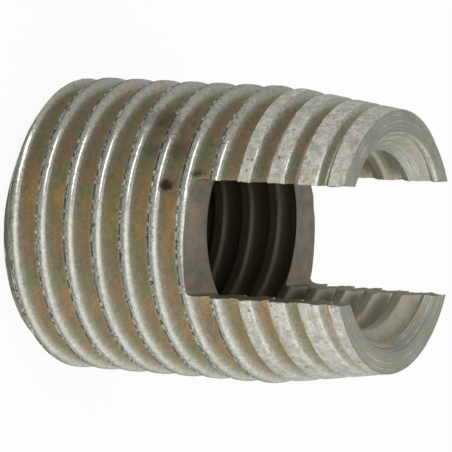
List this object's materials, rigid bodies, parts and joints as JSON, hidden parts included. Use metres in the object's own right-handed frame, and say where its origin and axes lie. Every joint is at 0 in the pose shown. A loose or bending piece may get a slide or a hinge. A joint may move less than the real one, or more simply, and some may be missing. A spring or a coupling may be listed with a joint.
{
  "type": "self-tapping threaded insert",
  "caption": "Slotted steel threaded bush that cuts its own outer thread into a drilled hole and gives it a machine-screw thread inside.",
  "frame": {"origin": "centre of the flat end face, on the axis of the threads, where the insert stands", "axes": "+Z along the axis from the flat end to the slotted, tapered end; the slot runs along X"},
  "size_m": [0.014, 0.014, 0.0176],
  "materials": {
    "zinc_steel": "zinc-plated steel with a dull grey-green passivated sheen, worn along the crests"
  },
  "bodies": {
    "root": {"insert": "zinc_steel"}
  },
  "joints": []
}
